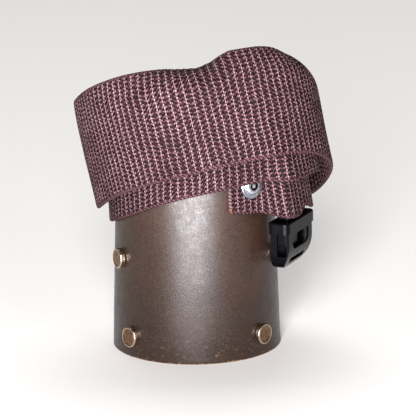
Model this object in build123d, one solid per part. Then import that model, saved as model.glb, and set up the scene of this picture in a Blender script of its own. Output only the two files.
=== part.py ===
# Climbing-spur cuff with its wound strap: an upright rolled leather sleeve,
# a wide webbing strap wound round its top, and a side-release buckle.
# Millimetres, +Z up, the sleeve's axis is the Z axis and its lower rim is z = 0.
# Turn angles are counted from the front (-Y) towards the right (+X).
from build123d import *
from math import sin, cos, radians, degrees, sqrt, atan2
import os

# ---- driving dimensions -------------------------------------------------
CUFF_HEIGHT = 90.0        # lower rim to upper rim
CUFF_R_BASE = 38.4        # outer radius at the lower rim
CUFF_R_TOP = 35.5         # outer radius at the upper rim
SHELL_T = 3.0             # leather
LINER_T = 1.5             # thin lining leather
LINER_GAP = 0.02
SEAM_SLIT = 0.6           # butt gap between the rolled sheet's two ends

CAP_R = 4.75              # flat rivet cap
CAP_T = 2.3
CAP_EDGE = 0.75
POST_R = 1.6
BACK_R = 4.0
BACK_T = 1.1
CAP_SEAT = 0.05           # gap under a cap
BACK_SEAT = 0.30          # a back cap's edge meets the hollow curve this far in

WEB_W = 50.0              # wide strap webbing
WEB_T = 2.1

WASHER_R = 5.8
WASHER_T = 1.1
BLIND_HEAD_R = 3.9
BLIND_HEAD_T = 1.3
BLIND_SHANK_R = 2.0
STEM_R = 1.05

BUCKLE_TURN = 66.0        # where the buckle hangs
COLLAR_W = 32.0
COLLAR_Y = (42.2, 52.2)   # near and far faces, out from the sleeve's axis
COLLAR_Z = (58.2, 63.3)
BODY_W = 27.0
BODY_Y = (42.6, 51.7)
SOCKET_BOTTOM = 40.9
CORNER_R = 6.8
CAVITY_W = 23.0
CAVITY_Y = (45.6, 50.6)
CAVITY_BOTTOM = 46.9
PLUG_W = 20.0
PLUG_Y = (44.4, 50.2)
PLUG_Z = (63.7, 76.4)
ARM_Y = (46.0, 49.2)
ARM_X = 6.8               # middle of an arm at its root
ARM_ROOT_Z = 65.0
WINDOW_Z = (47.4, 57.4)   # side windows that show the arms' shoulders
WEB_SLOT_W = 16.6
TAB_W = 16.0
TAB_T = 1.5

# ---- helpers ------------------------------------------------------------


def cuff_r(z):
    """Outer radius of the sleeve at a height."""
    return CUFF_R_BASE + (CUFF_R_TOP - CUFF_R_BASE) * z / CUFF_HEIGHT


def cone_wall(inset_out, inset_in, z0, z1):
    """Conical ring between two insets from the sleeve's outer face."""
    pts = [
        (cuff_r(z0) - inset_in, z0),
        (cuff_r(z0) - inset_out, z0),
        (cuff_r(z1) - inset_out, z1),
        (cuff_r(z1) - inset_in, z1),
    ]
    face = make_face(Polyline(*[(r, 0, z) for r, z in pts], close=True))
    return revolve(face, Axis.Z, 360)


def on_wall(turn, z, r, tilt=0.0):
    """Place whose +Z points outwards from the sleeve at a turn angle."""
    a = radians(turn)
    out = Vector(sin(a) * cos(radians(tilt)), -cos(a) * cos(radians(tilt)), sin(radians(tilt)))
    return Plane(origin=(r * sin(a), -r * cos(a), z), x_dir=(cos(a), sin(a), 0), z_dir=out).location


def disc(radius, z0, z1):
    """Upright cylinder from z0 to z1."""
    return Pos(0, 0, (z0 + z1) / 2) * Cylinder(radius, z1 - z0)


def at(place, shape):
    """Move a shape into a place."""
    return place * shape


# ---- sleeve -------------------------------------------------------------

WALL_TILT = degrees(atan2(CUFF_R_BASE - CUFF_R_TOP, CUFF_HEIGHT))

FRONT_RIVETS = [(-65.0, 44.0), (-50.0, 9.6), (50.0, 10.2), (73.0, 44.0)]
SEAM_RIVETS = [(172.0, 14.0), (188.0, 14.0), (172.0, 42.0), (188.0, 42.0)]
TAB_RIVET = (BUCKLE_TURN, 84.0)
STRAP_RIVET = (38.9, 80.0)
STRAP_TILT = 3.5

SEAM_T = 2.0
SEAM_HALF = 15.0          # half angle of the cover strip
SEAM_Z = (4.0, 54.0)
BEHIND = SHELL_T + LINER_GAP + LINER_T


def rivet_bore(turn, z, radius, tilt):
    """Clearance cylinder through the wall."""
    return at(on_wall(turn, z, cuff_r(z), tilt), disc(radius, -14, 16))


def all_bores(shape):
    """Every fastener hole that passes through a wall piece."""
    for turn, z in FRONT_RIVETS + SEAM_RIVETS + [TAB_RIVET]:
        shape -= rivet_bore(turn, z, POST_R + 0.05, WALL_TILT)
    shape -= rivet_bore(STRAP_RIVET[0], STRAP_RIVET[1], BLIND_SHANK_R + 0.05, STRAP_TILT)
    return shape


def cuff_shell():
    """Rolled outer sheet with a narrow butt gap at the back."""
    body = cone_wall(0, SHELL_T, 0, CUFF_HEIGHT)
    body -= Pos(0, CUFF_R_BASE, CUFF_HEIGHT / 2) * Box(SEAM_SLIT, 20, CUFF_HEIGHT + 10)
    return all_bores(body)


def cuff_liner():
    """Lining, set back a little from both rims."""
    body = cone_wall(SHELL_T + LINER_GAP, BEHIND, 1.5, CUFF_HEIGHT - 1.5)
    return all_bores(body)


def seam_strip():
    """Cover strip riveted over the butt gap."""
    z0, z1 = SEAM_Z
    ring = cone_wall(-SEAM_T, -0.02, z0, z1)
    a = radians(SEAM_HALF)
    reach = 60.0
    wedge = make_face(
        Polyline((0, 0), (-reach * sin(a), reach * cos(a)), (reach * sin(a), reach * cos(a)), close=True)
    )
    keep = extrude(wedge, 100)
    return all_bores(ring & keep)


# ---- rivets -------------------------------------------------------------


def cap_profile(radius, thick, edge):
    """Flat cap with a rounded edge and a slightly raised rim."""
    cap = disc(radius, 0, thick)
    cap = fillet(cap.edges().sort_by(Axis.Z)[-1], edge)
    dish = Pos(0, 0, thick) * Cylinder(radius - 1.35, 0.36)
    return cap - dish


def rivet_cap(turn, z, lift=0.0):
    """Cap and its post, driven through both sheets."""
    cap = at(Pos(0, 0, CAP_SEAT + lift), cap_profile(CAP_R, CAP_T, CAP_EDGE))
    post = disc(POST_R, -(BEHIND + BACK_SEAT + 0.85), CAP_SEAT + lift + 0.4)
    return at(on_wall(turn, z, cuff_r(z), WALL_TILT), cap + post)


def rivet_back(turn, z):
    """Back cap, pressed on the post inside the sleeve."""
    seat = -(BEHIND + BACK_SEAT)
    back = disc(BACK_R, seat - BACK_T, seat)
    back = fillet(back.edges().sort_by(Axis.Z)[0], 0.45)
    back -= disc(POST_R + 0.02, seat - 0.9, seat + 1)
    return at(on_wall(turn, z, cuff_r(z), WALL_TILT), back)


def short_cap(turn, z, lift):
    """Smaller flat cap for the seam and the tab."""
    cap = at(Pos(0, 0, lift), cap_profile(4.0, 1.5, 0.5))
    post = disc(POST_R, -(BEHIND + BACK_SEAT + 0.85), lift + 0.4)
    return at(on_wall(turn, z, cuff_r(z), WALL_TILT), cap + post)


# ---- wide strap ---------------------------------------------------------

# One line a station: turn angle, inner radius at the lower edge, height of the
# lower edge, and how far the upper edge leans along X and along Y.
STRAP_PATH = [
    (24, 37.6, 68.5, -1.0, 2.0),
    (32, 37.7, 67.8, -1.2, 2.0),
    (40, 37.8, 67.0, -1.4, 1.8),
    (46.8, 37.9, 66.6, -3.0, 1.6),
    (50.4, 43.4, 65.8, -6.2, 1.4),
    (53.8, 52.4, 65.0, -8.8, 1.6),
    (58, 52.0, 64.6, -8.4, 1.2),
    (62.5, 51.9, 65.0, -8.4, 1.0),
    (66, 51.9, 67.4, -8.4, 0.8),
    (73, 52.0, 67.4, -8.4, 0.6),
    (77, 52.2, 65.4, -8.4, 0.4),
    (80.5, 52.4, 64.6, -8.2, 0.2),
    (88, 47.4, 63.8, -6.4, -0.2),
    (97, 43.3, 63.0, -4.4, -0.8),
    (110, 40.5, 62.0, -2.6, -1.2),
    (135, 39.9, 60.6, -1.6, -1.4),
    (180, 39.6, 59.0, -0.4, -1.0),
    (225, 38.4, 57.4, -0.6, 0.4),
    (250, 37.4, 56.6, -1.4, 0.2),
    (270, 36.9, 57.2, -2.0, 0.0),
    (288, 36.9, 60.2, -2.2, 0.2),
    (315, 37.2, 66.8, -1.8, 0.8),
    (335, 37.9, 72.4, -1.4, 2.2),
    (358, 39.5, 77.4, -1.4, 4.2),
    (380, 41.4, 80.6, -1.6, 5.0),
    (388, 43.2, 81.8, -2.4, 5.0),
    (396, 44.4, 82.6, -3.6, 5.0),
    (401.5, 46.0, 82.9, -5.2, 4.8),
    (405, 49.6, 83.0, -8.0, 5.2),
    (409, 54.5, 82.9, -9.6, 5.0),
    (416, 54.9, 82.8, -9.9, 3.8),
    (424, 54.8, 82.6, -9.9, 2.4),
    (432, 54.9, 82.3, -9.8, 1.4),
    (440, 55.3, 81.8, -9.4, 0.2),
    (449, 51.6, 81.0, -7.4, -0.4),
    (461, 47.4, 79.6, -6.0, -1.0),
    (478, 44.6, 76.6, -4.2, -1.0),
    (500, 44.1, 71.8, -3.2, -0.6),
    (540, 43.6, 66.6, -3.2, 0.6),
    (580, 42.8, 66.4, -5.6, 3.0),
    (606, 42.2, 65.2, -8.4, 6.0),
    (630, 42.2, 63.6, -10.6, 8.6),
    (655, 43.0, 70.0, -11.4, 9.0),
    (680, 45.0, 79.0, -11.8, 7.4),
    (705, 48.2, 86.6, -11.8, 6.6),
    (722, 50.4, 91.0, -11.8, 8.6),
    (738, 53.0, 94.4, -11.6, 12.6),
    (752, 56.0, 96.2, -10.4, 12.4),
    (772, 59.0, 96.0, -9.2, 9.4),
    (790, 60.7, 90.2, -9.4, 9.2),
    (802, 61.0, 84.2, -9.6, 9.4),
    (812, 60.8, 77.8, -9.6, 9.4),
    (823, 60.0, 70.0, -9.6, 9.6),
    (836, 57.8, 61.4, -9.0, 10.0),
    (852, 56.4, 57.2, -8.0, 10.0),
    (880, 53.8, 56.0, -6.0, 9.0),
    (915, 50.0, 56.4, -4.0, 8.0),
]


def edge_points(offset, upper):
    """Points along one edge of the webbing, inner or outer face."""
    pts = []
    for turn, r, z, lx, ly in STRAP_PATH:
        a = radians(turn)
        x = (r + offset) * sin(a)
        y = -(r + offset) * cos(a)
        if upper:
            x += lx
            y += ly
            z += sqrt(WEB_W**2 - lx**2 - ly**2)
        pts.append(Vector(x, y, z))
    return pts


def wide_strap():
    """One length of webbing, wound two and a half times."""
    low_in = Spline(*edge_points(0, False)).edge()
    low_out = Spline(*edge_points(WEB_T, False)).edge()
    top_in = Spline(*edge_points(0, True)).edge()
    top_out = Spline(*edge_points(WEB_T, True)).edge()
    sides = [(low_in, top_in), (low_out, top_out), (low_in, low_out), (top_in, top_out)]
    faces = [Face.make_surface_from_curves(a, b) for a, b in sides]
    for k in (0, 1):
        ring = [low_in @ k, top_in @ k, top_out @ k, low_out @ k]
        faces.append(make_face(Polyline(*ring, close=True)).face())
    body = Solid(Shell(faces))
    turn, z = STRAP_RIVET
    body -= rivet_bore(turn, z, BLIND_SHANK_R + 0.05, STRAP_TILT)
    return body


# ---- strap rivet --------------------------------------------------------

STRAP_FACE = 4.00         # strap's outer face, out from the sleeve's, at the rivet


def strap_place():
    turn, z = STRAP_RIVET
    return on_wall(turn, z, cuff_r(z), STRAP_TILT)


def strap_washer():
    """Flat washer under the blind rivet's head."""
    ring = disc(WASHER_R, STRAP_FACE, STRAP_FACE + WASHER_T)
    ring = fillet(ring.edges().sort_by(Axis.Z)[-1], 0.35)
    ring -= disc(BLIND_SHANK_R + 0.05, 0, 10)
    return at(strap_place(), ring)


def strap_rivet():
    """Blind rivet body: domed head, hollow shank."""
    z0 = STRAP_FACE + WASHER_T + 0.02
    head = disc(BLIND_HEAD_R, z0, z0 + BLIND_HEAD_T)
    head = fillet(head.edges().sort_by(Axis.Z)[-1], 0.9)
    body = head + disc(BLIND_SHANK_R, -(BEHIND + 2.2), z0 + 0.3)
    body -= disc(STEM_R + 0.35, z0 + BLIND_HEAD_T - 0.75, z0 + 5)
    body -= disc(STEM_R + 0.03, -20, z0 + 5)
    return at(strap_place(), body)


def strap_rivet_stem():
    """Snapped stem left inside the blind rivet."""
    z0 = STRAP_FACE + WASHER_T + 0.02
    stem = disc(STEM_R, -(BEHIND + 2.6), z0 + BLIND_HEAD_T - 0.15)
    return at(strap_place(), stem)


def strap_back_washer():
    """Washer inside the sleeve, under the set end of the rivet."""
    seat = -(BEHIND + 0.45)
    ring = disc(4.6, seat - 1.0, seat) - disc(BLIND_SHANK_R + 0.05, -20, 10)
    return at(strap_place(), ring)


# ---- buckle -------------------------------------------------------------
# Local frame: X across the buckle, Y out from the sleeve, Z up.

BUCKLE_PLACE = Location((0, 0, 0), (0, 0, BUCKLE_TURN + 180))
BAR_Z = (73.0, 76.4)
BAR_Y = (44.5, 47.1)
SLOT_LOW = 69.8


def block(x, y, z):
    """Box between two limits along each axis."""
    size = [b - a for a, b in (x, y, z)]
    mid = [(a + b) / 2 for a, b in (x, y, z)]
    return Pos(*mid) * Box(*size)


def rounded_block(w, y, z, corner):
    """Upright block with rounded long edges."""
    section = Pos(0, (y[0] + y[1]) / 2) * RectangleRounded(w, y[1] - y[0], corner)
    return Pos(0, 0, z[0]) * extrude(section, z[1] - z[0])


def side_profile():
    """Solid whose lower front curves back towards the sleeve."""
    inner, outer = BODY_Y
    foot = (inner + 4.2, SOCKET_BOTTOM)
    belly = (outer - 1.3, SOCKET_BOTTOM + 5.4)
    front = Line((outer, COLLAR_Z[1]), (outer, SOCKET_BOTTOM + 12.5))
    curve = ThreePointArc(front @ 1, belly, foot)
    rest = Polyline(foot, (inner + 1.2, SOCKET_BOTTOM), (inner, SOCKET_BOTTOM + 1.2),
                    (inner, COLLAR_Z[1]), (outer, COLLAR_Z[1]))
    outline = Plane.YZ * make_face(front + curve + rest)
    return extrude(outline, BODY_W, both=True)


def socket_body():
    """Socket below its collar, its two lower corners well rounded."""
    z = (SOCKET_BOTTOM, COLLAR_Z[0] + 1.0)
    body = block((-BODY_W / 2, BODY_W / 2), BODY_Y, z)
    low = body.edges().filter_by(Axis.Y).group_by(Axis.Z)[0]
    body = fillet(low, CORNER_R)
    return body & side_profile()


def buckle_socket():
    """Female half: collar, windowed body, webbing slot at its foot."""
    collar = rounded_block(COLLAR_W, COLLAR_Y, COLLAR_Z, 2.6)
    collar = fillet(collar.edges().group_by(Axis.Z)[-1], 0.7)
    body = socket_body() + collar
    body -= rounded_block(CAVITY_W, CAVITY_Y, (CAVITY_BOTTOM, COLLAR_Z[1] + 2), 0.8)
    body -= block((-30, 30), (CAVITY_Y[0] + 0.2, CAVITY_Y[1] - 0.4), WINDOW_Z)
    half = WEB_SLOT_W / 2
    body -= block((-half, half), (30, 70), (43.2, 45.9))
    window = block((-9.4, 9.4), (BODY_Y[1] - 2.0, BODY_Y[1] + 2), (49.9, 57.0))
    window = fillet(window.edges().filter_by(Axis.Y).group_by(Axis.Z)[0], 3.6)
    body -= window
    return BUCKLE_PLACE * body


def buckle_plug():
    """Male half's head: webbing bar, grip flutes and centre tongue."""
    base = rounded_block(PLUG_W, PLUG_Y, PLUG_Z, 1.4)
    base -= block((-30, 30), (48.7, 70), (69.4, 90))
    half = WEB_SLOT_W / 2
    base -= block((-half, half), (30, 70), (SLOT_LOW, BAR_Z[0]))
    base -= block((-half, half), (BAR_Y[1], 70), (BAR_Z[0] - 1, BAR_Z[1] + 1))
    base -= block((-half, half), (30, BAR_Y[0]), (BAR_Z[0] - 1, BAR_Z[1] + 1))
    for k in range(6):
        x = -7.5 + 3.0 * k
        flute = Pos(x, PLUG_Y[1] - 0.2, 66.5) * Cylinder(0.85, 5.0)
        base += flute
    base += block((-2.6, 2.6), (46.2, 49.0), (49.0, PLUG_Z[0] + 1))
    for side in (-1, 1):
        x = side * ARM_X
        base -= Pos(x, BUCKLE_MID, ARM_ROOT_Z) * Rot(90, 0, 0) * Cylinder(1.45, 20)
        base -= block((x - 2.2, x + 2.2), (30, 70), (PLUG_Z[0] - 1, ARM_ROOT_Z))
    return BUCKLE_PLACE * base


BUCKLE_MID = (ARM_Y[0] + ARM_Y[1]) / 2


def arm_blank():
    """Right-hand arm, in the buckle's own frame."""
    outline = [
        (ARM_X + 1.1, ARM_ROOT_Z),
        (ARM_X + 1.5, 60.0),
        (ARM_X + 3.6, 57.4),
        (ARM_X + 6.1, 57.4),
        (ARM_X + 6.1, 53.0),
        (ARM_X + 5.6, 49.8),
        (ARM_X + 4.2, 47.9),
        (ARM_X + 2.7, 48.4),
        (ARM_X + 1.9, 52.0),
        (ARM_X - 0.3, 58.5),
        (ARM_X - 1.1, ARM_ROOT_Z),
    ]
    face = make_face(Polyline(*[(x, 0, z) for x, z in outline], close=True))
    thick = ARM_Y[1] - ARM_Y[0]
    arm = extrude(face, thick / 2, both=True)
    knuckle = Pos(ARM_X, 0, ARM_ROOT_Z) * Rot(90, 0, 0) * Cylinder(1.4, thick)
    return Pos(0, BUCKLE_MID, 0) * (arm + knuckle)


def plug_arm(side):
    """One springy arm: +1 right, -1 left, in the buckle's own frame."""
    arm = arm_blank()
    if side < 0:
        arm = mirror(arm, Plane.YZ)
    return BUCKLE_PLACE * arm


def buckle_tab():
    """Narrow webbing folded round the plug's bar, both ends on the sleeve."""
    in_y = BAR_Y[0] - 0.15
    out_y = BAR_Y[1] + 0.15
    low = BAR_Z[0] - 0.3
    high = BAR_Z[1] + 0.4
    wall = cuff_r(84.0) + 0.2
    outline = [
        (in_y - TAB_T, low - TAB_T),
        (out_y + TAB_T, low - TAB_T),
        (out_y + TAB_T, high),
        (wall + 2 * TAB_T + 0.2, 80.4),
        (wall + 2 * TAB_T, 88.4),
        (wall, 88.4),
        (wall + 0.2, 79.6),
        (in_y - TAB_T, 74.6),
    ]
    fold = make_face(Polyline(*[(0, y, z) for y, z in outline], close=True))
    tab = extrude(fold, TAB_W / 2, both=True)
    tab -= block((-30, 30), (in_y, out_y), (low, high))
    tab = BUCKLE_PLACE * tab
    turn, z = TAB_RIVET
    return tab - rivet_bore(turn, z, POST_R + 0.05, WALL_TILT)


# ---- write every node ---------------------------------------------------

if __name__ == "__main__":
    os.makedirs("parts", exist_ok=True)
    nodes = {
        "cuff_shell": cuff_shell(),
        "cuff_liner": cuff_liner(),
        "seam_strip": seam_strip(),
        "wide_strap": wide_strap(),
        "strap_washer": strap_washer(),
        "strap_rivet": strap_rivet(),
        "strap_rivet_stem": strap_rivet_stem(),
        "strap_back_washer": strap_back_washer(),
        "buckle_socket": buckle_socket(),
        "buckle_plug": buckle_plug(),
        "plug_arm_right": plug_arm(1),
        "plug_arm_left": plug_arm(-1),
        "buckle_tab": buckle_tab(),
    }
    for k, (turn, z) in enumerate(FRONT_RIVETS, 1):
        nodes[f"cap_rivet_{k}"] = rivet_cap(turn, z)
        nodes[f"cap_rivet_back_{k}"] = rivet_back(turn, z)
    for k, (turn, z) in enumerate(SEAM_RIVETS, 1):
        nodes[f"seam_rivet_{k}"] = short_cap(turn, z, SEAM_T + 0.05)
        nodes[f"seam_rivet_back_{k}"] = rivet_back(turn, z)
    nodes["tab_rivet"] = short_cap(TAB_RIVET[0], TAB_RIVET[1], 2 * TAB_T + 0.68)
    nodes["tab_rivet_back"] = rivet_back(*TAB_RIVET)
    for name, shape in nodes.items():
        box = shape.bounding_box()
        print(name, round(shape.volume, 1), box.min, box.max, shape.is_valid)
        export_step(shape, f"parts/{name}.step")
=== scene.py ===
# %% [markdown]
# # A climbing-spur cuff and its wound strap
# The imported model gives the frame: every rigid body is already in place. This notebook
# puts leather, woven webbing, nickel and black plastic on it, one piece at a time.
# Lengths in the tables are millimetres; Blender works in metres. Places round the cuff
# are given as turns in degrees, with 0 at the front and 90 on the right.

# %% Load the frame
import bpy
import math
import numpy as np
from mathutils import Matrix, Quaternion, Vector, noise


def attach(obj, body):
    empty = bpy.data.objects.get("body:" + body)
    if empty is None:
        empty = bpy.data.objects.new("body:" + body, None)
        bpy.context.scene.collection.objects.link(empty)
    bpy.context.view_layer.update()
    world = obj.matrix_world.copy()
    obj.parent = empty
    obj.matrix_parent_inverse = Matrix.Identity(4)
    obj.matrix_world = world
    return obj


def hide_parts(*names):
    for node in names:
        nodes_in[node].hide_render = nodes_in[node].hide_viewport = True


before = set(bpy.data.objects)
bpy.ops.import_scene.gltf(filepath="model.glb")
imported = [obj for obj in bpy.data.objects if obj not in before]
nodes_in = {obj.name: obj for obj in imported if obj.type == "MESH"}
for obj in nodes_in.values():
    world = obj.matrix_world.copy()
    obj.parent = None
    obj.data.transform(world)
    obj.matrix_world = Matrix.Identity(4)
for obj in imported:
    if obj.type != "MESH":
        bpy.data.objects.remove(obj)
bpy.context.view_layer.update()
MM = 0.001                # one millimetre, in metres
PER_METRE = 1000.0        # millimetres in a metre
print("nodes:", len(nodes_in))

# %% [markdown]
# ## Small tools
# Hex colours are display values, and Blender's shaders want linear light, so one function
# turns one into the other. Two more build a mesh from rows of points, which suits rolled,
# turned and wound shapes whose section is the same all the way along. A small class adds
# the nodes of a material, so that each material reads as a list of steps.

# %% Helpers
def srgb(hex_text):
    """Linear colour from an sRGB hex."""
    out = []
    for k in (0, 2, 4):
        c = int(hex_text[k : k + 2], 16) / 255
        out.append(c / 12.92 if c <= 0.04045 else ((c + 0.055) / 1.055) ** 2.4)
    return (*out, 1.0)


def mesh_piece(name, verts, faces, smooth=35):
    """A mesh object at the origin, smooth-shaded below an angle in degrees."""
    me = bpy.data.meshes.new(name)
    me.from_pydata([tuple(v) for v in verts], [], faces)
    me.update()
    ob = bpy.data.objects.new(name, me)
    bpy.context.scene.collection.objects.link(ob)
    bpy.ops.object.select_all(action="DESELECT")
    ob.select_set(True)
    bpy.context.view_layer.objects.active = ob
    bpy.ops.object.shade_smooth_by_angle(angle=math.radians(smooth))
    return ob


def ring_faces(rows, cols):
    """Quads over rows of points, each row a closed ring."""
    faces = []
    for i in range(rows - 1):
        for j in range(cols):
            a = i * cols + j
            b = i * cols + (j + 1) % cols
            c = (i + 1) * cols + (j + 1) % cols
            d = (i + 1) * cols + j
            faces.append((a, b, c, d))
    return faces


class Shader:
    """Builds one material's node tree, in sizes of millimetres."""

    def __init__(self, name):
        self.mat = bpy.data.materials.new(name)
        self.mat.use_nodes = True
        self.nt = self.mat.node_tree
        self.nt.nodes.clear()
        self.out = self.node("ShaderNodeOutputMaterial")
        self.bsdf = self.node("ShaderNodeBsdfPrincipled")
        self.link(self.bsdf.outputs[0], self.out.inputs[0])

    def node(self, kind, **settings):
        n = self.nt.nodes.new(kind)
        for k, v in settings.items():
            setattr(n, k, v)
        return n

    def link(self, a, b):
        self.nt.links.new(a, b)

    def put(self, socket, value):
        if hasattr(value, "is_linked"):
            self.link(value, socket)
        else:
            socket.default_value = value

    def set(self, **values):
        for k, v in values.items():
            self.put(self.bsdf.inputs[k.replace("_", " ").title().replace("Ior", "IOR")], v)

    def math(self, op, a, b=0.0):
        n = self.node("ShaderNodeMath", operation=op)
        for s, v in zip(n.inputs, (a, b)):
            self.put(s, v)
        return n.outputs[0]

    def object_mm(self):
        """Object coordinates in millimetres."""
        tc = self.node("ShaderNodeTexCoord")
        vm = self.node("ShaderNodeVectorMath", operation="SCALE")
        self.link(tc.outputs["Object"], vm.inputs[0])
        vm.inputs["Scale"].default_value = PER_METRE
        return vm.outputs[0]

    def noise(self, vec, size_mm, detail=2.0, rough=0.5, stretch=None):
        """Noise whose blotches are about this many millimetres across."""
        if stretch:
            m = self.node("ShaderNodeMapping")
            m.inputs["Scale"].default_value = stretch
            self.link(vec, m.inputs[0])
            vec = m.outputs[0]
        n = self.node("ShaderNodeTexNoise")
        self.link(vec, n.inputs["Vector"])
        n.inputs["Scale"].default_value = 1.0 / size_mm
        n.inputs["Detail"].default_value = detail
        n.inputs["Roughness"].default_value = rough
        return n.outputs["Fac"]

    def ramp(self, fac, *stops):
        n = self.node("ShaderNodeValToRGB")
        el = n.color_ramp.elements
        while len(el) < len(stops):
            el.new(0.5)
        for e, (p, col) in zip(el, stops):
            e.position = p
            e.color = col
        self.link(fac, n.inputs[0])
        return n.outputs[0]

    def remap(self, fac, a, b, c, d):
        n = self.node("ShaderNodeMapRange", clamp=True)
        for s, v in zip(n.inputs[:5], (fac, a, b, c, d)):
            self.put(s, v)
        return n.outputs[0]

    def mix(self, fac, a, b, blend="MIX"):
        n = self.node("ShaderNodeMix", data_type="RGBA", blend_type=blend)
        self.put(n.inputs[0], fac)
        self.put(n.inputs[6], a)
        self.put(n.inputs[7], b)
        return n.outputs[2]

    def bump(self, height, depth_mm, strength=1.0, under=None):
        n = self.node("ShaderNodeBump")
        self.link(height, n.inputs["Height"])
        n.inputs["Distance"].default_value = depth_mm * MM
        n.inputs["Strength"].default_value = strength
        if under is not None:
            self.link(under, n.inputs["Normal"])
        return n.outputs[0]


def dress(ob, material):
    """Gives every slot of an object one material."""
    if not ob.material_slots:
        ob.data.materials.append(material)
    for s in ob.material_slots:
        s.material = material


def soften(ob, width_mm, segments=2, angle=30):
    """Breaks the sharp edges of a CAD piece."""
    m = ob.modifiers.new("soft_edges", "BEVEL")
    m.width = width_mm * MM
    m.segments = segments
    m.limit_method = "ANGLE"
    m.angle_limit = math.radians(angle)
    m.harden_normals = True


print("helpers ready")

# %% [markdown]
# ## Leather
# The sleeve is thick vegetable-tanned leather with a dark brown pigment finish. A plain
# dark colour would look like plastic: what says leather is a soft sheen broken by a
# pebbled grain, cloudy colour, and the tan layer that shows where the finish has gone, in
# scuffs low down and along the cut rim. So colour, roughness and relief all follow the
# same few noises, each with its real size in millimetres. The lining is suede: paler,
# matt and with a short nap.

# %% Leather
PEBBLE = 0.62             # pitch of the leather's grain


def leather(name, base, dark, raw_edge=True):
    """Pigmented full-grain leather: semi-gloss, with a grain of about half a millimetre."""
    s = Shader(name)
    p = s.object_mm()
    sep = s.node("ShaderNodeSeparateXYZ")
    s.link(p, sep.inputs[0])
    cloud = s.noise(p, 20, 3, 0.6)
    mottle = s.noise(p, 1.3, 3, 0.65)
    colour = s.mix(s.remap(cloud, 0.32, 0.68, 0, 1), srgb(base), srgb(dark))
    colour = s.mix(s.remap(mottle, 0.42, 0.72, 0.0, 0.22), colour, srgb("35221a"))
    grain = s.noise(p, 0.42, 3, 0.65)
    cell = s.node("ShaderNodeTexVoronoi", feature="F1")
    s.link(p, cell.inputs["Vector"])
    cell.inputs["Scale"].default_value = 1 / PEBBLE
    pebble = s.remap(cell.outputs["Distance"], 0.0, 0.7, 1, 0)
    # pale specks a third of a millimetre across: painted glints standing for the grain's sparkle
    glint_noise = s.noise(p, 0.32, 0, 0.5)
    painted_glint = s.remap(glint_noise, 0.64, 0.72, 0, 1)
    colour = s.mix(s.math("MULTIPLY", painted_glint, 0.04), colour, srgb("c9b6a6"))
    rough = s.remap(s.noise(p, 5, 3, 0.6), 0.3, 0.7, 0.34, 0.44)
    rough = s.math("ADD", rough, s.remap(mottle, 0.35, 0.7, -0.05, 0.08))
    # scuffed streaks low on the sleeve, where the tan layer shows through
    low = s.remap(sep.outputs["Z"], 4.0, 17.0, 1, 0)
    scuff = s.noise(p, 2.4, 3, 0.65, stretch=(1.0, 1.0, 2.6))
    scuff = s.math("MULTIPLY", s.remap(scuff, 0.60, 0.70, 0, 1), low)
    colour = s.mix(s.math("MULTIPLY", scuff, 0.55), colour, srgb("7c5d42"))
    if raw_edge:
        # the cut rim at the foot, where the hide was never pigmented
        fray = s.remap(s.noise(p, 1.8, 3, 0.65), 0.3, 0.7, -0.45, 0.45)
        ragged = s.math("ADD", sep.outputs["Z"], fray)
        edge = s.remap(ragged, 0.20, 0.60, 1, 0)
        colour = s.mix(s.math("MULTIPLY", edge, 0.85), colour, srgb("80603f"))
        rough = s.math("ADD", rough, s.math("MULTIPLY", edge, 0.3))
    n1 = s.bump(pebble, 0.030, 0.7)
    n2 = s.bump(grain, 0.045, 0.8, n1)
    n3 = s.bump(cloud, 1.0, 0.25, n2)
    s.set(base_color=colour, roughness=rough, normal=n3)
    s.bsdf.inputs["Specular IOR Level"].default_value = 0.36
    return s.mat


def suede(name, base, dark):
    """Suede: matt, with a short nap that catches light at its edges."""
    s = Shader(name)
    p = s.object_mm()
    nap = s.noise(p, 0.5, 3, 0.65)
    cloud = s.noise(p, 9, 3, 0.6)
    colour = s.mix(s.remap(cloud, 0.3, 0.7, 0, 1), srgb(base), srgb(dark))
    colour = s.mix(s.remap(nap, 0.4, 0.7, 0, 0.5), colour, srgb("8d6f52"))
    s.set(base_color=colour, roughness=0.88, normal=s.bump(nap, 0.12, 0.7))
    s.bsdf.inputs["Sheen Weight"].default_value = 0.3
    return s.mat


brown_leather = leather("brown_leather", "261710", "1d110a")
strip_leather = leather("brown_leather_strip", "2a1a11", "20130b", raw_edge=False)
lining = suede("lining_leather", "6d5239", "5a422d")
print("leathers:", brown_leather.name, strip_leather.name, lining.name)

# %% [markdown]
# ## Webbing
# The strap is a coarse, dry woven webbing with cross ribs: threads run across it on each
# rib, rows of slanted stitches lie between them, and small holes open among them. Their
# shade and highlight are painted in: dark in the holes and furrows, bright on the crests.
# Modelling every thread would take millions of faces, and a pattern laid over the whole
# piece would slide as the strap turns. The weave is computed from the strap's own length
# and width, kept in a UV map in metres, so its pitch stays true round each turn.

# %% Webbing
WEB_W = 50.0              # width of the wide strap
TAB_W = 16.0              # width of the buckle's tab
RIB = 3.30                # pitch of the ribs along the webbing
STITCH = 2.05             # pitch of the stitches across it
BINDING = 1.9             # pitch of the cord bound along both sides
HASH = (12.99, 43.7)      # turn a column's number into a random-looking offset


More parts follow.
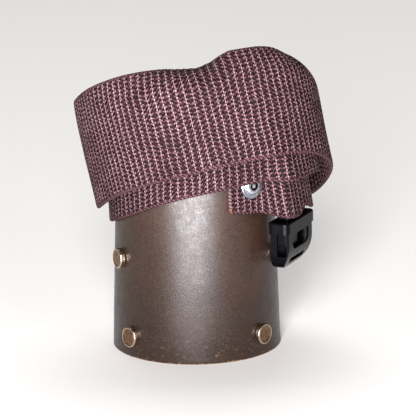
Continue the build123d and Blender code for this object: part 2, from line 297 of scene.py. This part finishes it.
def webbing(name, width, crest_highlight="80666b", mid="3f292d"):
    """Open ribbed weave: slanted stitches, a highlight painted on the rib threads, shade painted
    in the holes.
    """
    s = Shader(name)
    uv = s.node("ShaderNodeUVMap", uv_map="weave")
    sep = s.node("ShaderNodeSeparateXYZ")
    s.link(uv.outputs[0], sep.inputs[0])
    u = s.math("MULTIPLY", sep.outputs["X"], PER_METRE)
    v = s.math("MULTIPLY", sep.outputs["Y"], PER_METRE)
    comb = s.node("ShaderNodeCombineXYZ")
    s.link(u, comb.inputs[0])
    s.link(v, comb.inputs[1])
    flat = comb.outputs[0]
    drift = s.math("SUBTRACT", s.noise(flat, 9, 2, 0.5), 0.5)
    wobble = s.math("SUBTRACT", s.noise(flat, 1.5, 2, 0.6), 0.5)
    sway = s.math("SUBTRACT", s.noise(flat, 12, 1, 0.5), 0.5)
    # columns of half a rib: reach is 0 in a column's middle and 1 at its two borders
    u1 = s.math("ADD", u, s.math("MULTIPLY", wobble, 1.0))
    u1 = s.math("ADD", u1, s.math("MULTIPLY", drift, 1.4))
    cell = s.math("DIVIDE", u1, RIB / 2)
    half = s.math("SUBTRACT", s.math("FRACT", cell), 0.5)
    reach = s.math("MULTIPLY", s.math("ABSOLUTE", half), 2.0)
    column = s.math("FLOOR", cell)
    offset = s.math("SINE", s.math("MULTIPLY", column, HASH[0]))
    offset = s.math("FRACT", s.math("MULTIPLY", offset, HASH[1]))
    # slanted stitches, leaning one way or forming a V from place to place
    row = s.math("ADD", s.math("DIVIDE", v, STITCH), offset)
    row = s.math("ADD", row, s.math("MULTIPLY", half, s.remap(sway, -0.10, 0.10, -0.7, 0.7)))
    vee = s.remap(s.noise(flat, 15, 1, 0.5), 0.42, 0.58, 0.0, 0.5)
    row = s.math("ADD", row, s.math("MULTIPLY", reach, vee))
    row = s.math("ADD", row, s.math("MULTIPLY", wobble, 0.6))
    gap = s.math("ABSOLUTE", s.math("SUBTRACT", s.math("FRACT", row), 0.5))
    gap = s.math("MULTIPLY", gap, 2.0)
    fat = s.remap(s.noise(flat, 2.3, 1, 0.5), 0.35, 0.65, 0.42, 0.66)
    stitch = s.remap(gap, s.math("SUBTRACT", fat, 0.30), s.math("ADD", fat, 0.22), 1, 0)
    knot = s.remap(reach, 0.0, 0.55, 0.95, 0.60)
    stitch = s.math("MULTIPLY", stitch, knot)
    rib = s.math("FRACT", s.math("DIVIDE", u1, RIB))
    rib = s.math("ABSOLUTE", s.math("SUBTRACT", rib, 0.5))
    rib = s.math("MULTIPLY", rib, 2.0)
    stitch = s.math("MULTIPLY", stitch, s.remap(rib, 0, 1, 0.72, 1.05))
    # every second border carries a strong thread, and the others a thin one
    nearest = s.math("FRACT", s.math("MULTIPLY", s.math("ROUND", cell), 0.5))
    main = s.remap(nearest, 0.2, 0.3, 1, 0)
    warp = s.math("MULTIPLY", main, s.remap(reach, 0.40, 0.74, 0, 1.05))
    thin = s.math("MULTIPLY", s.math("SUBTRACT", 1.0, main), s.remap(reach, 0.62, 0.95, 0, 0.42))
    warp = s.math("ADD", warp, thin)
    ply = s.math("SINE", s.math("ADD", s.math("MULTIPLY", v, 4.2), s.math("MULTIPLY", u, 2.0)))
    warp = s.math("MULTIPLY", warp, s.remap(ply, -1, 1, 0.62, 0.96))
    strand = s.noise(flat, 0.28, 1, 0.6, stretch=(1.0, 0.6, 1.0))
    height = s.math("MAXIMUM", stitch, warp)
    height = s.math("ADD", height, s.math("MULTIPLY", s.math("SUBTRACT", strand, 0.5), 0.45))
    # bound edges: a tight cord along both sides
    edge_mm = s.math("MINIMUM", v, s.math("SUBTRACT", width, v))
    bound = s.remap(edge_mm, 1.1, 1.5, 1, 0)
    cord_row = s.math("ADD", s.math("DIVIDE", u, BINDING), s.math("MULTIPLY", edge_mm, 0.5))
    cord = s.math("ABSOLUTE", s.math("SUBTRACT", s.math("FRACT", cord_row), 0.5))
    cord = s.math("SUBTRACT", 0.7, s.math("MULTIPLY", s.math("POWER", cord, 2.0), 2.2))
    cord = s.math("ADD", cord, s.math("MULTIPLY", s.math("SUBTRACT", strand, 0.5), 0.5))
    height = s.math("ADD", s.math("MULTIPLY", height, s.math("SUBTRACT", 1.0, bound)),
                    s.math("MULTIPLY", cord, bound))
    # colour by thread height: the dark stops are painted shade in the holes and furrows, the
    # brightest stop a painted highlight on the crests, the middle the thread's own plum
    shade = s.ramp(
        height,
        (0.12, srgb("080304")),
        (0.36, srgb("281317")),
        (0.66, srgb(mid)),
        (0.98, srgb(crest_highlight)),
    )
    tone = s.noise(flat, 24, 3, 0.55)
    shade = s.mix(s.remap(tone, 0.40, 0.68, 0.0, 0.5), shade, srgb("9c7f7a"), "MULTIPLY")
    # worn, browner threads at the lower corner of the strap's first end
    loose = s.noise(flat, 0.7, 2, 0.7, stretch=(0.3, 1.0, 1.0))
    end = s.remap(s.math("ADD", u, s.math("MULTIPLY", loose, -3.0)), -1.2, -0.6, 1, 0)
    end = s.math("MULTIPLY", end, s.remap(v, 1.2, 4.5, 0.5, 0.0))
    shade = s.mix(end, shade, srgb("6b4c33"))
    s.set(base_color=shade, roughness=0.55, normal=s.bump(height, 0.55, 1.0))
    s.bsdf.inputs["Specular IOR Level"].default_value = 0.07
    return s.mat


plum_webbing = webbing("plum_webbing", WEB_W)
dark_webbing = webbing("dark_webbing", TAB_W, "43332f", "1f1416")
print("webbing:", plum_webbing.name, dark_webbing.name)

# %% [markdown]
# ## Metals and plastic
# The cap rivets are nickel-plated, and the washer and the blind rivet are bright zinc.
# Small metal parts are seen mostly by what they reflect, so each has a smeared roughness
# and not one even value. On the front caps a reflection is painted on: the flats are
# painted brown for the leather they reflect and the rims bright for their highlight,
# which a distance from the cap's centre tells apart. The buckle is moulded acetal, nearly
# black, and its soft highlight comes from its roughness.

# %% Metals and plastic
def metal(name, colour, dark, rough, scratch=0.02):
    """Plated metal: handling smears, and fine scratches this many millimetres deep."""
    s = Shader(name)
    p = s.object_mm()
    smear = s.noise(p, 2.0, 3, 0.6)
    fine = s.noise(p, 0.25, 2, 0.6, stretch=(1.0, 1.0, 4.0))
    col = s.mix(s.remap(smear, 0.35, 0.7, 0, 1), srgb(colour), srgb(dark))
    gloss = s.remap(smear, 0.3, 0.7, rough, rough + 0.14)
    s.set(base_color=col, roughness=gloss, normal=s.bump(fine, scratch, 0.6))
    s.bsdf.inputs["Metallic"].default_value = 1.0
    return s.mat


CAP_R = 4.75              # radius of a front cap
CAP_THICK = 2.3           # thickness of a front cap
CAP_SEAT = 0.05           # gap between cap and leather
CAP_MIDDLE = 1.2          # height of its middle over the leather


def cap_painted_shine(name, place, radius):
    """Nickel with painted light: the flat painted brown for the leather it reflects, a highlight
    painted on the rim.
    """
    s = Shader(name)
    p = s.object_mm()
    o, _, _, axis = place
    away = s.node("ShaderNodeVectorMath", operation="DISTANCE")
    s.link(p, away.inputs[0])
    away.inputs[1].default_value = tuple(o + axis * CAP_MIDDLE)
    # a bright band painted round the rim: a painted highlight
    rim = s.remap(away.outputs["Value"], radius - 0.85, radius - 0.45, 0, 1)
    smear = s.noise(p, 1.6, 3, 0.65)
    pit = s.noise(p, 0.35, 2, 0.6)
    # the flat painted brown as a painted reflection of the leather, with small dark pits
    flat = s.mix(s.remap(smear, 0.35, 0.65, 0, 1), srgb("8a6b52"), srgb("654c39"))
    flat = s.mix(s.remap(pit, 0.60, 0.72, 0, 0.6), flat, srgb("45342a"))
    col = s.mix(rim, flat, srgb("b8a896"))
    rough = s.remap(smear, 0.3, 0.7, 0.30, 0.46)
    rough = s.math("SUBTRACT", rough, s.math("MULTIPLY", rim, 0.12))
    s.set(base_color=col, roughness=rough, normal=s.bump(pit, 0.05, 0.7))
    s.bsdf.inputs["Metallic"].default_value = 1.0
    return s.mat


def plastic(name, colour):
    """Moulded acetal: smooth flow marks and a little pale dust."""
    s = Shader(name)
    p = s.object_mm()
    flow = s.noise(p, 6.0, 3, 0.55)
    dust = s.noise(p, 0.22, 2, 0.6)
    col = s.mix(s.remap(dust, 0.66, 0.8, 0, 0.12), srgb(colour), srgb("3a3b3e"))
    gloss = s.remap(flow, 0.3, 0.7, 0.20, 0.32)
    s.set(base_color=col, roughness=gloss, normal=s.bump(flow, 0.08, 0.5))
    s.bsdf.inputs["Specular IOR Level"].default_value = 0.07
    return s.mat


def blind_head(name, centre):
    """Bright head, with shade painted as a dark ring round the snapped stem."""
    s = Shader(name)
    p = s.object_mm()
    away = s.node("ShaderNodeVectorMath", operation="DISTANCE")
    s.link(p, away.inputs[0])
    away.inputs[1].default_value = tuple(centre)
    d = away.outputs["Value"]
    # a dark ring 1 to 2.6 mm from the axis: painted shade in the hollow round the stem
    ring = s.math("MULTIPLY", s.remap(d, 1.0, 1.3, 0, 1), s.remap(d, 2.1, 2.6, 1, 0))
    smear = s.noise(p, 1.2, 3, 0.6)
    bright = s.mix(s.remap(smear, 0.35, 0.65, 0, 1), srgb("e6e9ee"), srgb("9fa6b4"))
    col = s.mix(ring, bright, srgb("1d1f24"))
    gloss = s.remap(smear, 0.3, 0.7, 0.22, 0.36)
    s.set(base_color=col, roughness=gloss, normal=s.bump(smear, 0.05, 0.5))
    s.bsdf.inputs["Metallic"].default_value = 1.0
    return s.mat


nickel = metal("nickel_plate", "b9a48c", "8a715c", 0.28)
zinc = metal("zinc_plate", "c3c8d2", "868d9c", 0.24)
acetal = plastic("black_acetal", "030304")
print("metals and plastic ready")

# %% [markdown]
# ## The cuff's rolled leather
# A sheet of 3 mm leather rolled into a slightly conical sleeve, its two ends meeting with
# a fine gap at the back. A perfect cone would catch the light in one straight line, so
# the wall swells and dips by a few tenths of a millimetre, as rolled leather does. One
# profile, taken round the rims and down the inside, is swept round and closed at the gap.

# %% Cuff shell
H, R0, R1, WALL = 90.0, 38.4, 35.5, 3.0      # height, radii at foot and top, wall
RIM = 0.55                # rounding of the rims
SEAM_HALF = 0.3           # half the gap at the back
SETTLE = -0.10            # keeps the swelling wall inside the CAD shape on average
SWELL = 0.22              # slow unevenness of the wall
RIPPLE = 0.05             # finer unevenness


def cuff_r(z):
    return R0 + (R1 - R0) * z / H


def cuff_profile():
    """Outside bottom to top, over the rim and down the inside, as (inset, height)."""
    pts = []
    e = RIM
    for k in range(5):
        a = math.pi / 2 * k / 4
        pts.append((e - e * math.sin(a), e - e * math.cos(a)))
    for k in range(1, 60):
        pts.append((0, e + (H - 2 * e) * k / 60))
    for k in range(5):
        a = math.pi / 2 * k / 4
        pts.append((e - e * math.cos(a), H - e + e * math.sin(a)))
    for k in range(5):
        a = math.pi / 2 * k / 4
        pts.append((WALL - e + e * math.sin(a), H - e + e * math.cos(a)))
    for k in range(1, 20):
        pts.append((WALL, H - e - (H - 2 * e) * k / 20))
    for k in range(5):
        a = math.pi / 2 * k / 4
        pts.append((WALL - e + e * math.cos(a), e - e * math.sin(a)))
    return pts


def build_cuff():
    prof = cuff_profile()
    turns = 240
    gap = math.degrees(SEAM_HALF / R0)
    verts = []
    for i in range(turns + 1):
        phi = math.radians(180 + gap + (360 - 2 * gap) * i / turns)
        for inset, z in prof:
            d = (math.sin(phi), -math.cos(phi))
            n = noise.noise(Vector((d[0] * 1.7, d[1] * 1.7, z / 34.0)))
            n2 = noise.noise(Vector((d[0] * 5, d[1] * 5, z / 12.0 + 7)))
            push = SETTLE + SWELL * n + RIPPLE * n2 if inset < 1 else 0.0
            push *= min(1.0, z / 4.0)    # none at the foot, which stands flat
            r = cuff_r(z) - inset + push
            verts.append((r * d[0] * MM, r * d[1] * MM, z * MM))
    faces = ring_faces(turns + 1, len(prof))
    last = turns * len(prof)
    faces.append(tuple(range(len(prof))))
    faces.append(tuple(last + k for k in reversed(range(len(prof)))))
    return mesh_piece("cuff_leather", verts, faces, 50)


cuff = build_cuff()
dress(cuff, brown_leather)
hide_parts("cuff_shell")
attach(cuff, "cuff")
print("cuff quads:", len(cuff.data.polygons))

# %% [markdown]
# ## The wound strap
# One length of 50 mm webbing, wound about two and a half times round the sleeve. Each
# station gives a turn, the strap's radius and height at its lower edge, and how far the
# upper edge leans in x and in y. A smooth curve runs through the stations, and the lean's
# third part follows from the width, so the strap is never stretched across. The route is
# the CAD solid's own route. It is a flat strap in a settled place, so the mesh is made
# directly along that route and not by a cloth simulation.

# %% Strap path
WEB_T = 2.1               # thickness of the wide strap
STRAP_ROWS = 1020         # cross-sections along the strap, under a millimetre apart
STATIONS = [
    (24, 37.6, 68.5, -1.0, 2.0),
    (32, 37.7, 67.8, -1.2, 2.0),
    (40, 37.8, 67.0, -1.4, 1.8),
    (46.8, 37.9, 66.6, -3.0, 1.6),
    (50.4, 43.4, 65.8, -6.2, 1.4),
    (53.8, 52.4, 65.0, -8.8, 1.6),
    (58, 52.0, 64.6, -8.4, 1.2),
    (62.5, 51.9, 65.0, -8.4, 1.0),
    (66, 51.9, 67.4, -8.4, 0.8),
    (73, 52.0, 67.4, -8.4, 0.6),
    (77, 52.2, 65.4, -8.4, 0.4),
    (80.5, 52.4, 64.6, -8.2, 0.2),
    (88, 47.4, 63.8, -6.4, -0.2),
    (97, 43.3, 63.0, -4.4, -0.8),
    (110, 40.5, 62.0, -2.6, -1.2),
    (135, 39.9, 60.6, -1.6, -1.4),
    (180, 39.6, 59.0, -0.4, -1.0),
    (225, 38.4, 57.4, -0.6, 0.4),
    (250, 37.4, 56.6, -1.4, 0.2),
    (270, 36.9, 57.2, -2.0, 0.0),
    (288, 36.9, 60.2, -2.2, 0.2),
    (315, 37.2, 66.8, -1.8, 0.8),
    (335, 37.9, 72.4, -1.4, 2.2),
    (358, 39.5, 77.4, -1.4, 4.2),
    (380, 41.4, 80.6, -1.6, 5.0),
    (388, 43.2, 81.8, -2.4, 5.0),
    (396, 44.4, 82.6, -3.6, 5.0),
    (401.5, 46.0, 82.9, -5.2, 4.8),
    (405, 49.6, 83.0, -8.0, 5.2),
    (409, 54.5, 82.9, -9.6, 5.0),
    (416, 54.9, 82.8, -9.9, 3.8),
    (424, 54.8, 82.6, -9.9, 2.4),
    (432, 54.9, 82.3, -9.8, 1.4),
    (440, 55.3, 81.8, -9.4, 0.2),
    (449, 51.6, 81.0, -7.4, -0.4),
    (461, 47.4, 79.6, -6.0, -1.0),
    (478, 44.6, 76.6, -4.2, -1.0),
    (500, 44.1, 71.8, -3.2, -0.6),
    (540, 43.6, 66.6, -3.2, 0.6),
    (580, 42.8, 66.4, -5.6, 3.0),
    (606, 42.2, 65.2, -8.4, 6.0),
    (630, 42.2, 63.6, -10.6, 8.6),
    (655, 43.0, 70.0, -11.4, 9.0),
    (680, 45.0, 79.0, -11.8, 7.4),
    (705, 48.2, 86.6, -11.8, 6.6),
    (722, 50.4, 91.0, -11.8, 8.6),
    (738, 53.0, 94.4, -11.6, 12.6),
    (752, 56.0, 96.2, -10.4, 12.4),
    (772, 59.0, 96.0, -9.2, 9.4),
    (790, 60.7, 90.2, -9.4, 9.2),
    (802, 61.0, 84.2, -9.6, 9.4),
    (812, 60.8, 77.8, -9.6, 9.4),
    (823, 60.0, 70.0, -9.6, 9.6),
    (836, 57.8, 61.4, -9.0, 10.0),
    (852, 56.4, 57.2, -8.0, 10.0),
    (880, 53.8, 56.0, -6.0, 9.0),
    (915, 50.0, 56.4, -4.0, 8.0),
]


def smooth_through(ts, ys, tq):
    """Natural cubic through points."""
    n = len(ts)
    h = np.diff(ts)
    A = np.zeros((n, n))
    b = np.zeros((n, ys.shape[1]))
    A[0, 0] = A[-1, -1] = 1
    for i in range(1, n - 1):
        A[i, i - 1], A[i, i], A[i, i + 1] = h[i - 1], 2 * (h[i - 1] + h[i]), h[i]
        b[i] = 6 * ((ys[i + 1] - ys[i]) / h[i] - (ys[i] - ys[i - 1]) / h[i - 1])
    m = np.linalg.solve(A, b)
    k = np.clip(np.searchsorted(ts, tq) - 1, 0, n - 2)
    t0, t1, hk = ts[k], ts[k + 1], h[k]
    a, c = ((t1 - tq) / hk)[:, None], ((tq - t0) / hk)[:, None]
    hh = (hk**2 / 6)[:, None]
    return a * ys[k] + c * ys[k + 1] + ((a**3 - a) * m[k] + (c**3 - c) * m[k + 1]) * hh


def strap_edges(count):
    """Lower and upper edge lines, turn angles and length run, at even steps."""
    low, lean, turn = [], [], []
    for t, r, z, lx, ly in STATIONS:
        a = math.radians(t)
        rm = r + WEB_T / 2
        low.append((rm * math.sin(a), -rm * math.cos(a), z))
        lean.append((lx, ly, math.sqrt(WEB_W**2 - lx**2 - ly**2)))
        turn.append(t)
    low, lean = np.array(low), np.array(lean)
    mid = low + lean / 2
    run = np.concatenate([[0], np.cumsum(np.linalg.norm(np.diff(low, axis=0), axis=1))])
    dense = np.linspace(0, run[-1], 4000)
    data = np.hstack([low, low + lean, np.array(turn)[:, None]])
    out = smooth_through(run, data, dense)
    centre = (out[:, :3] + out[:, 3:6]) / 2
    true = np.concatenate([[0], np.cumsum(np.linalg.norm(np.diff(centre, axis=0), axis=1))])
    even = np.linspace(0, true[-1], count)
    out = np.column_stack([np.interp(even, true, out[:, k]) for k in range(7)])
    return out[:, :3], out[:, 3:6], out[:, 6], even


low, high, turn, run = strap_edges(STRAP_ROWS)
print("webbing length, mm:", round(float(run[-1]), 1))


# %% Strap mesh
def section(half_w, half_t, cells):
    """Round-edged outline of a webbing's cross-section, as (across, out)."""
    ring = []
    for k in range(7):
        a = math.pi * k / 6
        ring.append((-half_w + half_t - half_t * math.sin(a), -half_t * math.cos(a)))
    for k in range(1, cells):
        ring.append((-half_w + half_t + (2 * half_w - 2 * half_t) * k / cells, half_t))
    for k in range(7):
        a = math.pi * k / 6
        ring.append((half_w - half_t + half_t * math.sin(a), half_t * math.cos(a)))
    for k in range(1, cells):
        ring.append((half_w - half_t - (2 * half_w - 2 * half_t) * k / cells, -half_t))
    return ring


def ribbon(name, rows, half_w, run_mm):
    """Closed skin over rows of section points, with the weave's length and width as UVs."""
    cols = len(rows[0])
    verts = [tuple(p * MM) for r in rows for p, _ in r]
    uvs = [(u * MM, (w + half_w) * MM) for u, r in zip(run_mm, rows) for _, w in r]
    n = len(rows)
    faces = [tuple(reversed(f)) for f in ring_faces(n, cols)]
    faces.append(tuple(range(cols)))
    faces.append(tuple((n - 1) * cols + k for k in reversed(range(cols))))
    ob = mesh_piece(name, verts, faces, 60)
    uv = ob.data.uv_layers.new(name="weave")
    idx = np.empty(len(ob.data.loops), dtype=np.int32)
    ob.data.loops.foreach_get("vertex_index", idx)
    uv.data.foreach_set("uv", np.array(uvs)[idx].astype(np.float32).ravel())
    return ob


# turn in degrees, and how far the upper band has rolled inwards there
BENDS = [
    (0, 0), (395, 0), (420, 60), (480, 60), (540, 8), (670, 6), (694, 20), (709, 52),
    (724, 80), (735, 92), (741, 76), (749, 26), (762, 34), (782, 66), (836, 66),
    (880, 22), (915, 12),
]
BEND_W = 15.5             # width of the band that rolls in
SKIN = 0.12               # taken off each face, which the ribs' relief gives back
RELIEF = 0.20             # height of the ribs
SWAY = 0.35               # slow unevenness of the strap


def build_strap():
    n = len(run)
    centre = (low + high) / 2
    along = np.gradient(centre, axis=0)
    along /= np.linalg.norm(along, axis=1)[:, None]
    up = high - low
    up /= np.linalg.norm(up, axis=1)[:, None]
    out = np.cross(along, up)
    out /= np.linalg.norm(out, axis=1)[:, None]
    half_w, half_t = WEB_W / 2, WEB_T / 2 - SKIN
    ring = section(half_w, half_t, 34)
    bend_turns, bend_degrees = zip(*BENDS)
    bend = np.radians(np.interp(turn, bend_turns, bend_degrees))
    rows = []
    for i in range(n):
        rib = math.cos(2 * math.pi * run[i] / RIB)
        line = []
        for w, t in ring:
            side = t / half_t
            relief = RELIEF * rib * side * min(1.0, (half_w - abs(w)) / 1.5)
            q = Vector((turn[i] / 26.0, w / 22.0, 3.0))
            sway = SWAY * noise.noise(q)
            over = w - (half_w - BEND_W)
            if over > 0 and bend[i] > 0.02:
                # the upper band rolls inwards on an arc
                a = bend[i] * over / BEND_W
                r = BEND_W / bend[i]
                inward, rise = r * (1 - math.cos(a)), r * math.sin(a)
                nrm = out[i] * math.cos(a) + up[i] * math.sin(a)
                p = centre[i] + up[i] * (half_w - BEND_W + rise) - out[i] * inward
                p = p + nrm * (t + relief + sway)
            else:
                p = centre[i] + up[i] * w + out[i] * (t + relief + sway)
            line.append((p, w))
        rows.append(line)
    return ribbon("strap_webbing", rows, half_w, run)


strap = build_strap()
dress(strap, plum_webbing)
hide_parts("wide_strap")
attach(strap, "cuff")
print("strap quads:", len(strap.data.polygons))

# %% [markdown]
# ### The buckle's narrow tab
# A short length of finer webbing is riveted to the sleeve, goes round the plug's bar and
# comes back to the same rivet. Its line lies in one upright plane, as pairs of distance
# from the cuff's axis and height, and the same ribbon builder gives it its thickness.

# %% Buckle tab
TURN_B = math.radians(66.0)    # where the buckle hangs
TAB_HALF_T = 0.68
TAB_LINE = [
    (36.75, 88.2), (36.75, 84.0), (36.95, 80.6), (39.3, 77.8), (42.4, 75.2), (43.5, 73.6),
    (43.62, 72.6), (44.3, 71.98), (45.8, 71.93), (47.2, 71.98), (47.9, 72.6), (48.0, 74.0),
    (47.95, 76.0), (46.6, 77.5), (42.6, 79.2), (39.2, 80.7), (38.35, 82.4), (38.25, 85.0),
    (38.25, 88.2),
]


def build_tab():
    pts = np.array(TAB_LINE)
    run0 = np.concatenate([[0], np.cumsum(np.linalg.norm(np.diff(pts, axis=0), axis=1))])
    q = np.linspace(0, run0[-1], 150)
    line = smooth_through(run0, pts, q)
    step = np.gradient(line, axis=0)
    step /= np.linalg.norm(step, axis=1)[:, None]
    side = np.array([math.cos(TURN_B), math.sin(TURN_B), 0.0])
    outward = np.array([math.sin(TURN_B), -math.cos(TURN_B), 0.0])
    half_w, half_t = TAB_W / 2, TAB_HALF_T
    rows = []
    for i in range(len(q)):
        c = outward * line[i, 0] + np.array([0, 0, line[i, 1]])
        nrm = outward * -step[i, 1] + np.array([0, 0, step[i, 0]])
        rows.append([(c + side * w + nrm * t, w) for w, t in section(half_w, half_t, 12)])
    return ribbon("tab_webbing", rows, half_w, q), float(q[-1])


tab, tab_run = build_tab()
dress(tab, dark_webbing)
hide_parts("buckle_tab")
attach(tab, "cuff")
print("tab length, mm:", round(tab_run, 1))

# %% [markdown]
# ## Rivets
# Flat pressed caps with a rolled edge stand on the sleeve, square to its slanted wall.
# They are round, so one profile turned about each cap's own axis gives them all.

# %% Rivet caps
WALL_TILT = math.degrees(math.atan2(R0 - R1, H))


def on_wall(turn_deg, z, r, tilt):
    """Origin and axes of a place on the cuff's wall, outward axis last."""
    a, e = math.radians(turn_deg), math.radians(tilt)
    out = Vector((math.sin(a) * math.cos(e), -math.cos(a) * math.cos(e), math.sin(e)))
    x = Vector((math.cos(a), math.sin(a), 0))
    return Vector((r * math.sin(a), -r * math.cos(a), z)), x, out.cross(x), out


def lathe(name, place, profile, segments=64):
    """Turns a profile of (radius, height) about the place's outward axis."""
    o, x, y, out = place
    verts = []
    for r, h in profile:
        for k in range(segments):
            a = 2 * math.pi * k / segments
            p = o + x * (r * math.cos(a)) + y * (r * math.sin(a)) + out * h
            verts.append(tuple(p * MM))
    faces = ring_faces(len(profile), segments)
    faces.append(tuple(reversed(range(segments))))
    faces.append(tuple((len(profile) - 1) * segments + k for k in range(segments)))
    return mesh_piece(name, verts, faces, 40)


def cap_profile(radius, thick, seat):
    """Cap from its seat over the rolled edge to its flat, as (radius, height)."""
    prof = [(radius * 0.80, seat), (radius - 0.35, seat + 0.05)]
    for k in range(9):
        a = -0.35 * math.pi + (0.85 * math.pi) * k / 8
        prof.append((radius - 0.5 + 0.5 * math.cos(a), seat + thick - 0.6 + 0.55 * math.sin(a)))
    prof += [
        (radius - 0.75, seat + thick - 0.10),
        (radius - 0.95, seat + thick - 0.20),
        (radius - 2.0, seat + thick - 0.22),
        (1.0, seat + thick - 0.20),
        (0.2, seat + thick - 0.20),
    ]
    return prof


# turn and height of each front cap
FRONT = [(-65.0, 44.0), (-50.0, 9.6), (50.0, 10.2), (73.0, 44.0)]
for k, (t, z) in enumerate(FRONT, 1):
    place = on_wall(t, z, cuff_r(z), WALL_TILT)
    cap = lathe(f"cap_{k}", place, cap_profile(CAP_R, CAP_THICK, CAP_SEAT))
    dress(cap, cap_painted_shine(f"cap_painted_shine_{k}", place, CAP_R))
    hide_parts(f"cap_rivet_{k}")
    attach(cap, "cuff")
print("front caps:", len(FRONT))

# %% [markdown]
# ## Carried-over CAD pieces
# The small hardware, the lining and the buckle keep their CAD shapes and get real
# surfaces. The seam strip and the buckle also get broken edges, because a cut or moulded
# edge is never sharp, and a fine bright line along it is what shows its shape.

# %% Dress the CAD nodes
RIVET_TURN, RIVET_Z = 38.9, 80.0       # the strap's blind rivet
RIVET_TILT = 3.5                       # degrees its axis points above level
RIVET_RISE = 5.6                       # its head's height over the sleeve
REBUILT = {"cuff_shell", "wide_strap", "buckle_tab"}
REBUILT |= {f"cap_rivet_{k}" for k in range(1, len(FRONT) + 1)}

for name, ob in nodes_in.items():
    if name in REBUILT:
        continue
    if name.startswith(("cap_rivet_back", "seam_rivet", "tab_rivet")):
        dress(ob, nickel)
    elif name in ("strap_washer", "strap_back_washer"):
        dress(ob, zinc)
    elif name in ("strap_rivet", "strap_rivet_stem"):
        o, _, _, axis = on_wall(RIVET_TURN, RIVET_Z, cuff_r(RIVET_Z), RIVET_TILT)
        dress(ob, blind_head(f"{name}_metal", o + axis * RIVET_RISE))
    elif name == "cuff_liner":
        dress(ob, lining)
    elif name == "seam_strip":
        dress(ob, strip_leather)
        soften(ob, 0.4)
    elif name.startswith(("buckle_socket", "buckle_plug", "plug_arm")):
        dress(ob, acetal)
        soften(ob, 0.35, 3)
    print("dressed", name)

# %% [markdown]
# ## Floor, light and camera
# A pale matt floor, so that the cuff has a soft shadow to stand on. The key is a tall
# soft light in front, a little to the left; a weak fill lifts the right; a large light
# above and behind brightens the floor and hardly lights the front. Dark leather shows its
# roundness by one upright highlight, and a card lying low in front gives it: it faces up
# and the camera doesn't see it. A long lens keeps the perspective weak. The camera looks
# down by fourteen degrees and is rolled by a little under one.

# %% Stage
FLOOR_HALF = 8            # metres from the middle to the floor's edge


def floor():
    """Large matt floor with a faint unevenness."""
    s = Shader("pale_floor")
    p = s.object_mm()
    s.set(base_color=srgb("e2e0de"), roughness=0.8, normal=s.bump(s.noise(p, 3, 2), 0.02, 0.3))
    corners = [(-1, -1), (1, -1), (1, 1), (-1, 1)]
    verts = [(x * FLOOR_HALF, y * FLOOR_HALF, 0) for x, y in corners]
    ob = mesh_piece("floor", verts, [(0, 1, 2, 3)])
    dress(ob, s.mat)


floor()


def area_light(name, at, aim, size, power, colour=(1, 1, 1), size_y=None):
    """Area light at a point in metres, facing another, with its power in watts."""
    data = bpy.data.lights.new(name, "AREA")
    data.energy, data.size, data.color = power, size, colour
    if size_y:
        data.shape, data.size_y = "RECTANGLE", size_y
    ob = bpy.data.objects.new(name, data)
    bpy.context.scene.collection.objects.link(ob)
    ob.location = at
    ob.rotation_euler = (Vector(aim) - Vector(at)).to_track_quat("-Z", "Y").to_euler()


area_light(
    "key", at=(-0.10, -1.35, 0.50), aim=(0, 0, 0.06),
    size=0.35, size_y=0.8, power=48, colour=(1.0, 0.98, 1.0),
)
area_light(
    "fill_right", at=(0.75, -1.1, 0.45), aim=(0, 0, 0.08),
    size=0.22, size_y=0.6, power=3, colour=(1.0, 0.95, 0.9),
)
area_light("top", at=(0.0, 0.9, 1.7), aim=(0, 0.7, 0), size=1.4, power=27)
area_light(
    "low_card", at=(-0.04, -0.60, 0.004), aim=(-0.04, -0.60, 1),
    size=0.42, size_y=0.5, power=74, colour=(0.93, 0.94, 1.0),
)
bpy.data.objects["low_card"].visible_camera = False

world = bpy.data.worlds.new("studio")
bpy.context.scene.world = world
world.use_nodes = True
bg = world.node_tree.nodes["Background"]
bg.inputs["Color"].default_value = srgb("ffffff")
bg.inputs["Strength"].default_value = 0.05

SENSOR, LENS = 36.0, 250.0             # millimetres
VIEW_W = 0.189                         # width in view at the aim, metres
VIEW_DOWN = math.radians(14)
VIEW_ROLL = math.radians(-0.9)

cam_data = bpy.data.cameras.new("camera")
cam = bpy.data.objects.new("camera", cam_data)
bpy.context.scene.collection.objects.link(cam)
bpy.context.scene.camera = cam
cam_data.sensor_width, cam_data.lens = SENSOR, LENS
aim = Vector((5.9, 0, 62.6)) * MM
back = Vector((0, -math.cos(VIEW_DOWN), math.sin(VIEW_DOWN)))
cam.location = aim + back * (VIEW_W / SENSOR * LENS)
quat = (-back).to_track_quat("-Z", "Y")
cam.rotation_mode = "QUATERNION"
cam.rotation_quaternion = quat @ Quaternion((0, 0, 1), VIEW_ROLL)
bpy.context.scene.view_settings.view_transform = "Standard"
print("stage ready")
